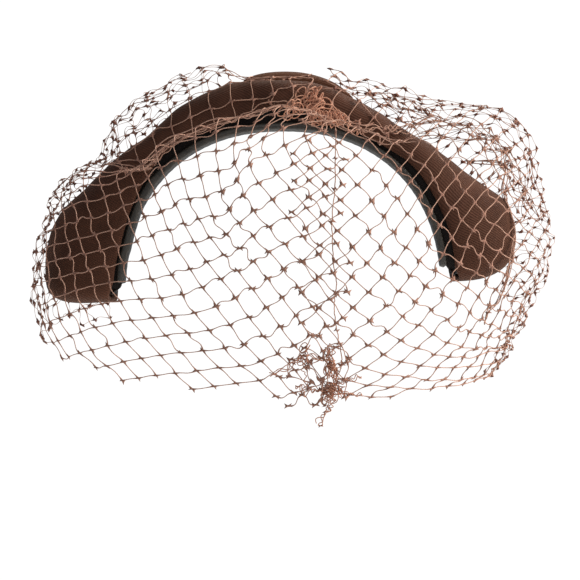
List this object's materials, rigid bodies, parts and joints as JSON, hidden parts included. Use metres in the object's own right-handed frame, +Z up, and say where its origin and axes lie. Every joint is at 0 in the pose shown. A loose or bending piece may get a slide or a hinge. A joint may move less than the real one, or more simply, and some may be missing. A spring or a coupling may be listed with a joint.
{
  "type": "half hat fascinator with birdcage veil",
  "caption": "Arched ribbed-cloth half hat with flared ends over the ears, a padded fold behind its top and a veil of knotted net drawn up along its front edge.",
  "frame": {"origin": "crown of the head, under the middle of the arch, where the hat sits", "axes": "+Z up, -Y the way the face looks, +X the wearer's left"},
  "size_m": [0.2324, 0.1458, 0.1489],
  "materials": {
    "ribbed_cloth": "fine ribbed brown faille with a dull silk sheen",
    "lining_satin": "smooth black lining satin",
    "band_satin": "charcoal grey satin ribbon",
    "netting": "rosy brown knotted silk net"
  },
  "bodies": {
    "root": {"band": "ribbed_cloth", "crown_fold": "ribbed_cloth", "lining": "lining_satin", "inner_band": "band_satin", "veil": "netting", "veil_knot": "netting", "veil_heading_left": "netting", "veil_heading_right": "netting"}
  },
  "joints": []
}
